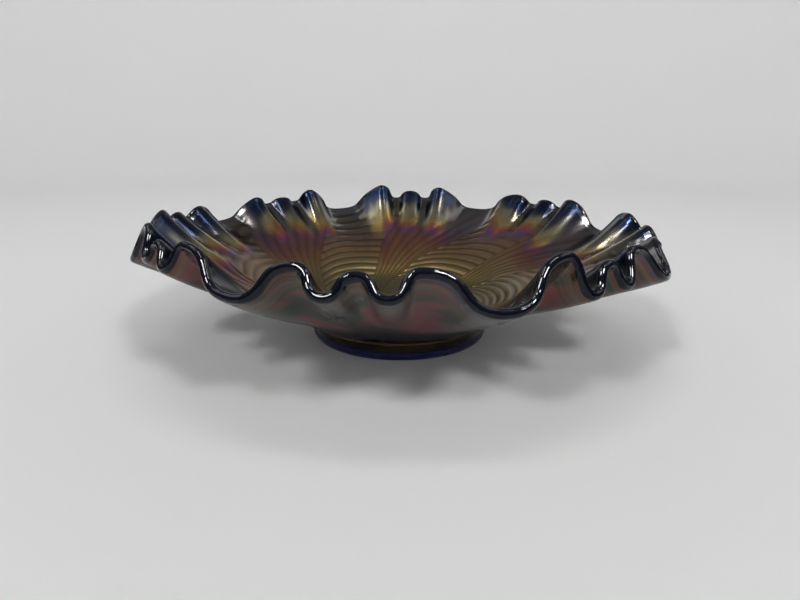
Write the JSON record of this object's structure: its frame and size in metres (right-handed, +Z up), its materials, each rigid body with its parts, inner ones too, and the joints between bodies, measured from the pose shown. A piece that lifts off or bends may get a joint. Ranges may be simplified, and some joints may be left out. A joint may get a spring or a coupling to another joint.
{
  "type": "ruffled glass bowl",
  "caption": "Shallow pressed-glass bowl with a flared, crimped and ruffled rim on a low collar base, with an iridescent lustre; free-standing, for display or serving.",
  "frame": {"origin": "centre of the foot ring, on the surface that the bowl stands on", "axes": "+Z up along the bowl's axis; the side shown to the front faces -Y, +X is to the right"},
  "size_m": [0.2192, 0.2172, 0.0582],
  "materials": {
    "lustred_glass": "glossy cobalt glass under a sprayed metallic lustre, gold to copper, rose and blue",
    "foot_glass": "glossy cobalt glass, little or no lustre",
    "rim_glass": "fire-polished cobalt glass, very glossy, near black"
  },
  "bodies": {
    "root": {"collar_base": "foot_glass", "base_disc": "lustred_glass", "lower_wall": "lustred_glass", "ruffled_flare": "lustred_glass", "rim_edge": "rim_glass"}
  },
  "joints": []
}
